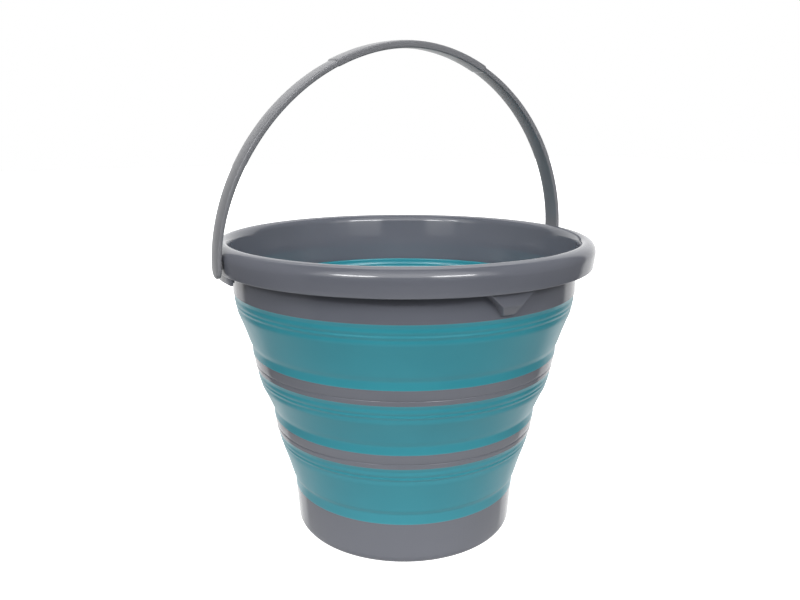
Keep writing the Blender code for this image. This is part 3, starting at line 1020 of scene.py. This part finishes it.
@dataclass
class CarryHandle:
    """The arched handle: crowned strap with round ends, thicker grip and two snap pins."""

    plastic: Material
    rim: RimFrame
    clearance: float = 0.0012
    thickness: float = 0.0042
    width: float = 0.0172
    crown: float = 0.0004
    rounding: float = 0.0012
    tail: float = 0.0020
    extra_rise: float = 0.0036
    power: float = 1.044
    arm_inner: float = 0.0009
    arm_inner_start: float = 0.15
    arm_inner_end: float = 0.55
    grip_outer: float = 0.0009
    grip_inner: float = 0.0004
    grip_side: float = 0.0003
    grip_half_angle: float = math.radians(25.5)
    grip_step: float = math.radians(0.35)
    grip_rows: int = 4
    arch_steps: int = 144
    face_steps: int = 4
    end_steps: int = 24
    gap: float = 0.0003
    pin_radius: float = 0.0030
    pin_head: float = 0.0008
    pin_head_length: float = 0.0022
    pin_taper: float = 0.0010
    pin_row: float = 0.003
    collar: float = 0.0012
    lean: float = math.radians(3.8)
    edge: float = 0.0005

    def __post_init__(self) -> None:
        """Work out the arch's reach and rise, measured from the pivots to the strap's middle."""
        self.half_span = self.rim.rim_radius + self.clearance + self.thickness / 2
        self.rise = self.half_span + self.extra_rise

    def face(self, reach: float, flat: float) -> list[Pair]:
        """Draw half of one crowned face with its rounded edge.

        Args:
            reach: Distance of the face's middle from the strap's middle.
            flat: Half of the face's width inside its rounded edges.

        Returns:
            Places across the strap's thickness and its width, from the middle outward.
        """
        level = reach - self.crown - self.rounding
        shares = [i / self.face_steps for i in range(self.face_steps)]
        turns = [math.pi / 2 * i / self.face_steps for i in range(self.face_steps + 1)]
        crowned = [(reach - self.crown * share * share, flat * share) for share in shares]
        edge = [(level + self.rounding * math.cos(a), flat + self.rounding * math.sin(a)) for a in turns]
        return crowned + edge

    def half_section(self, growth: float = 0.0, swell: float = 0.0) -> list[Pair]:
        """Draw half of the strap's section.

        Args:
            growth: Share of the grip's thickening, from 0 on the arms to 1 on the grip.
            swell: Share of the arms' own thickening inwards, from 0 at the rim to 1 above it.

        Returns:
            Places across the strap's thickness and its width, from the outer face to the inner one.
        """
        outer = self.thickness / 2 + self.grip_outer * growth
        inner = self.thickness / 2 + self.grip_inner * growth + self.arm_inner * swell
        flat = self.width / 2 + self.grip_side * growth - self.rounding
        return self.face(outer, flat) + [(-offset, y) for offset, y in reversed(self.face(inner, flat))]

    def whole_section(self, growth: float = 0.0, swell: float = 0.0) -> list[Pair]:
        """Return the strap's full section, round from the middle of its outer face."""
        half = self.half_section(growth, swell)
        return half + [(offset, -y) for offset, y in reversed(half[1:-1])]

    def arch_ring(self, angle: float) -> list[Vector]:
        """Set the strap's section across the arch.

        Args:
            angle: Place along the arch, from 0 at the right pivot to pi at the left one.

        Returns:
            The ring's corners.
        """
        across, up = math.cos(angle), math.sin(angle)
        side = math.copysign(1.0, across)
        reach = self.half_span * abs(across) ** self.power
        middle = Vector((side * reach, 0.0, self.rise * up ** self.power))
        turn = 2.0 - self.power
        tilt = math.atan2(self.half_span * up ** turn, self.rise * abs(across) ** turn)
        out = Vector((side * math.cos(tilt), 0.0, math.sin(tilt)))
        past = (self.grip_half_angle - abs(angle - math.pi / 2)) / self.grip_step
        growth = clamped(0.5 + past / 2)
        growth *= growth * (3.0 - 2.0 * growth)
        swell = clamped((up - self.arm_inner_start) / (self.arm_inner_end - self.arm_inner_start))
        section = self.whole_section(growth, swell)
        return [middle + offset * out + Vector((0.0, y, 0.0)) for offset, y in section]

    def tail_ring(self, side: Side, section: Sequence[Pair]) -> list[Vector]:
        """Return a section set at the start of one round end, below its pivot."""
        return [Vector((side.value * (self.half_span + offset), y, -self.tail)) for offset, y in section]

    def add_round_end(self, bm: Shape, side: Side) -> None:
        """Turn one round end onto the strap below its pivot.

        Args:
            bm: The strap, open at its ends.
            side: The side that the end is on.
        """
        verts = [bm.verts.new(corner) for corner in self.tail_ring(side, self.half_section())]
        edges = [bm.edges.new(pair) for pair in zip(verts, verts[1:])]
        bmesh.ops.spin(
            bm, geom=verts + edges, cent=(0.0, 0.0, -self.tail), axis=TurnAxis.ACROSS.value,
            angle=-math.pi, steps=self.end_steps,
        )

    def strap(self) -> Shape:
        """Loft the strap through rings that lie close at the grip's ends, and close its round ends.

        Returns:
            The strap.
        """
        angles = [math.pi * i / self.arch_steps for i in range(self.arch_steps + 1)]
        rows = range(-self.grip_rows, self.grip_rows + 1)
        for end in (-self.grip_half_angle, self.grip_half_angle):
            angles += [math.pi / 2 + end + self.grip_step * i / self.grip_rows for i in rows]
        section = self.whole_section()
        rings = [self.arch_ring(min(angle, math.pi)) for angle in sorted(angles)]
        rings = [self.tail_ring(Side.RIGHT, section)] + rings + [self.tail_ring(Side.LEFT, section)]
        bm = lofted(rings, closed=False)
        for side in Side:
            self.add_round_end(bm, side)
        bmesh.ops.remove_doubles(bm, verts=bm.verts[:], dist=WELD)
        bmesh.ops.recalc_face_normals(bm, faces=bm.faces[:])
        return bm

    def pin_outline(self) -> list[Corner]:
        """Draw the turned section of one snap pin.

        Returns:
            The section, from the head over the shank to the collar.
        """
        rim = self.rim
        share = (rim.skirt_drop - rim.pivot_drop) / (rim.skirt_drop - rim.crest_rise)
        collar_face = rim.rim_radius - rim.skirt_draft * (1.0 - share) + self.gap
        head = self.pin_radius + self.pin_head
        head_start = rim.ear_back - self.gap
        tip = head_start - self.pin_head_length
        return [
            Corner(0.0, tip),
            Corner(head - self.pin_taper, tip, self.edge / 2),
            Corner(head, head_start, self.edge / 4),
            Corner(self.pin_radius, head_start),
            Corner(self.pin_radius, collar_face),
            Corner(self.pin_radius + self.collar, collar_face),
            Corner(self.pin_radius + self.collar, self.half_span),
            Corner(0.0, self.half_span),
        ]

    def set_in_place(self, bm: Shape) -> Shape:
        """Lean a handle part about the pivot axis and lift it to the pivots.

        Args:
            bm: A part made round the pivot axis.

        Returns:
            The same bmesh, in place.
        """
        turn = Matrix.Rotation(self.lean, 3, "X")
        bmesh.ops.rotate(bm, verts=bm.verts[:], cent=(0.0, 0.0, 0.0), matrix=turn)
        bmesh.ops.translate(bm, vec=(0.0, 0.0, self.rim.pivot_level), verts=bm.verts[:])
        return bm

    def build(self) -> Piece:
        """Make the handle and set it on its body.

        Returns:
            The piece.
        """
        handle = piece("handle_strap", self.set_in_place(self.strap()), self.plastic)
        for side in Side:
            pin = mirrored(turned(self.pin_outline(), self.pin_row, TurnAxis.ACROSS), side)
            combine(handle, self.set_in_place(pin), Joining.ADD)
        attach(handle, "handle")
        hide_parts("carry_handle")
        return handle


@dataclass(frozen=True)
class Glow:
    """One soft patch of light in the studio's surroundings, the same on the left and the right.

    The angles are in degrees. The rise is above the horizon, and the turn is away from the
    photographed side of the bucket.
    """

    strength: float
    rise: Pair
    turn: Pair
    feather: float = 6.0

    def band(self, board: NodeBoard, angle: Socket, limits: Pair) -> Socket:
        """Fade a patch in and out between two limits of one angle.

        Args:
            board: The surroundings' nodes.
            angle: The angle's socket, in radians.
            limits: Where the patch starts and ends, in degrees.

        Returns:
            The share's socket, 1 inside the limits and 0 well outside them.
        """
        first, last = limits
        soft = self.feather
        fades = []
        for start, end in ((first - soft, first + soft), (last + soft, last - soft)):
            edges = (math.radians(start), math.radians(end))
            fades.append(board.spread(angle, limits=edges, soft=True))
        return board.math("MULTIPLY", *fades)

    def light(self, board: NodeBoard, rise: Socket, turn: Socket) -> Socket:
        """Return the socket of this patch's light for a direction's rise and turn."""
        share = board.math("MULTIPLY", self.band(board, rise, self.rise), self.band(board, turn, self.turn))
        return board.math("MULTIPLY", share, self.strength)


@dataclass
class Studio:
    """Pale floor, soft light and the camera at the photographed angle."""

    floor_half: float = 6.0
    base_glow: float = 0.02
    heading: float = math.radians(-29.5)
    camera_place: tuple[float, float, float] = (-0.3227, -0.5636, 0.3457)
    camera_tilt: float = math.radians(77.175)
    camera_lens: float = 34.49
    sensor: float = 36.0
    card_radius: float = 0.25
    card_drop: float = 0.002
    card_strength: float = 0.2
    # The front softboxes with the light round them, the back wall, the dim sides and the floor.
    glows: tuple[Glow, ...] = (
        Glow(13.0, (24.0, 31.0), (17.0, 42.0), 1.5),
        Glow(2.1, (22.0, 50.0), (-20.0, 42.0)),
        Glow(1.4, (12.0, 22.0), (17.0, 42.0), 3.0),
        Glow(1.3, (14.0, 50.0), (42.0, 56.0)),
        Glow(1.1, (50.0, 62.0), (-20.0, 48.0)),
        Glow(0.6, (62.0, 80.0), (-20.0, 52.0)),
        Glow(1.7, (46.0, 80.0), (130.0, 200.0)),
        Glow(1.15, (-32.0, 46.0), (142.0, 200.0), 5.0),
        Glow(0.95, (-32.0, 46.0), (129.0, 142.0), 4.0),
        Glow(0.15, (-20.0, 50.0), (60.0, 129.0)),
        Glow(0.6, (-45.0, -32.0), (-20.0, 200.0)),
        Glow(0.3, (-32.0, -24.0), (-20.0, 129.0)),
        Glow(0.35, (-100.0, -45.0), (-20.0, 200.0)),
    )

    def build_floor(self) -> None:
        """Lay the floor under the bucket; the light it throws back comes from the surroundings."""
        bm = bmesh.new()
        bmesh.ops.create_grid(bm, x_segments=1, y_segments=1, size=self.floor_half)
        floor = piece("studio_floor", bm, StudioPaper().material())
        floor.visible_diffuse = False
        floor.visible_glossy = False
        floor.visible_transmission = False
        floor.visible_shadow = False

    def build_surround(self) -> None:
        """Fill the surroundings with soft light by direction, behind a plain white backdrop."""
        world = bpy.data.worlds.new("studio_surround")
        board = NodeBoard(world)
        ahead = Vector((math.sin(self.heading), -math.cos(self.heading), 0.0))
        aside = Vector((math.cos(self.heading), math.sin(self.heading), 0.0))
        direction = board.add("ShaderNodeTexCoord").outputs["Generated"]
        axes = (UP, aside, ahead)
        high, wide, far = (board.math("DOT_PRODUCT", direction, axis, kind=VECTOR_MATH) for axis in axes)
        rise = board.math("ARCSINE", high)
        turn = board.math("ARCTAN2", board.math("ABSOLUTE", wide), far)
        total = self.base_glow
        for glow in self.glows:
            total = board.math("ADD", total, glow.light(board, rise, turn))
        background = board.tree.nodes["Background"]
        board.feed(background.inputs["Color"], WHITE)
        board.feed(background.inputs["Strength"], total)
        backdrop = board.add("ShaderNodeBackground", Color=WHITE, Strength=1.0)
        seen = board.add("ShaderNodeLightPath").outputs["Is Camera Ray"]
        shown = (seen, background.outputs["Background"], backdrop.outputs["Background"])
        mixer = board.add("ShaderNodeMixShader")
        for target, source in zip(mixer.inputs, shown):
            board.feed(target, source)
        board.feed(board.tree.nodes["World Output"].inputs["Surface"], mixer.outputs["Shader"])
        bpy.context.scene.world = world

    def build_card(self) -> None:
        """Lay a round white card just under the floor, which throws light up at the lower walls."""
        light = bpy.data.lights.new("bounce_card", "AREA")
        light.shape = "DISK"
        light.size = 2 * self.card_radius
        light.energy = self.card_strength * (math.pi * self.card_radius) ** 2
        card = bpy.data.objects.new("bounce_card", light)
        card.location = (0.0, 0.0, -self.card_drop)
        card.rotation_euler = (math.pi, 0.0, 0.0)
        card.visible_camera = False
        bpy.context.scene.collection.objects.link(card)

    def build_camera(self) -> None:
        """Set up the camera as the photograph was taken."""
        data = bpy.data.cameras.new("photo_camera")
        data.sensor_fit = "HORIZONTAL"
        data.sensor_width = self.sensor
        data.lens = self.camera_lens
        data.clip_start = 0.01
        data.clip_end = 50.0
        camera = bpy.data.objects.new("photo_camera", data)
        camera.location = self.camera_place
        camera.rotation_euler = (self.camera_tilt, 0.0, self.heading)
        bpy.context.scene.collection.objects.link(camera)
        bpy.context.scene.camera = camera

    def build(self) -> None:
        """Make the whole studio."""
        self.build_camera()
        self.build_floor()
        self.build_surround()
        self.build_card()
        bpy.context.scene.view_settings.view_transform = "Standard"


def bucket_parts() -> list[BaseCup | Hoop | WallPanel | RimFrame | CarryHandle]:
    """Put the bucket's sub-assemblies in order, with their finishes.

    Returns:
        The sub-assemblies, from the floor up.
    """
    bands = Bands()
    lower_foot, lower_top = bands.lower_hoop_radii
    upper_foot, upper_top = bands.upper_hoop_radii
    lower_panel, lower_hoop, middle_panel, upper_hoop, upper_panel, rim_level = bands.levels()
    plastic = MouldedPlastic().material()
    rubber = SoftRubber().material()
    base = BaseCup(plastic, bands.base)
    rim = RimFrame(plastic, rim_level, bands.rim)
    return [
        base,
        WallPanel(
            rubber, node="lower_wall_panel", lower_body="base", upper_body="lower_stage",
            level=lower_panel, height=bands.lower_panel,
            bottom_radius=base.top_radius, top_radius=lower_foot,
            shoulder_taper=0.0042, lip_relief=0.0025, lip_lift=0.0125,
        ),
        Hoop(plastic, "lower_hoop", "lower_stage", lower_hoop, bands.lower_hoop, bands.lower_hoop_radii),
        WallPanel(
            rubber, node="middle_wall_panel", lower_body="lower_stage", upper_body="middle_stage",
            level=middle_panel, height=bands.middle_panel,
            bottom_radius=lower_top, top_radius=upper_foot,
            shoulder_taper=0.0037, lip_relief=0.0022, lip_lift=0.0113,
        ),
        Hoop(plastic, "upper_hoop", "middle_stage", upper_hoop, bands.upper_hoop, bands.upper_hoop_radii),
        WallPanel(
            rubber, node="upper_wall_panel", lower_body="middle_stage", upper_body="rim",
            level=upper_panel, height=bands.upper_panel,
            bottom_radius=upper_top, top_radius=rim.band_radius, rabbet=rim.rabbet,
            shoulder_taper=0.0025, lip_relief=0.0021, lip_lift=0.0106,
        ),
        rim,
        CarryHandle(HandlePlastic().material(), rim),
    ]


def main() -> None:
    """Build the studio and every sub-assembly in order."""
    logging.basicConfig(level=logging.INFO, format="%(name)s: %(message)s")
    Studio().build()
    for part in bucket_parts():
        obj = part.build()
        LOG.info("%s: %d faces", obj.name, len(obj.data.polygons))


if __name__ == "__main__":
    main()
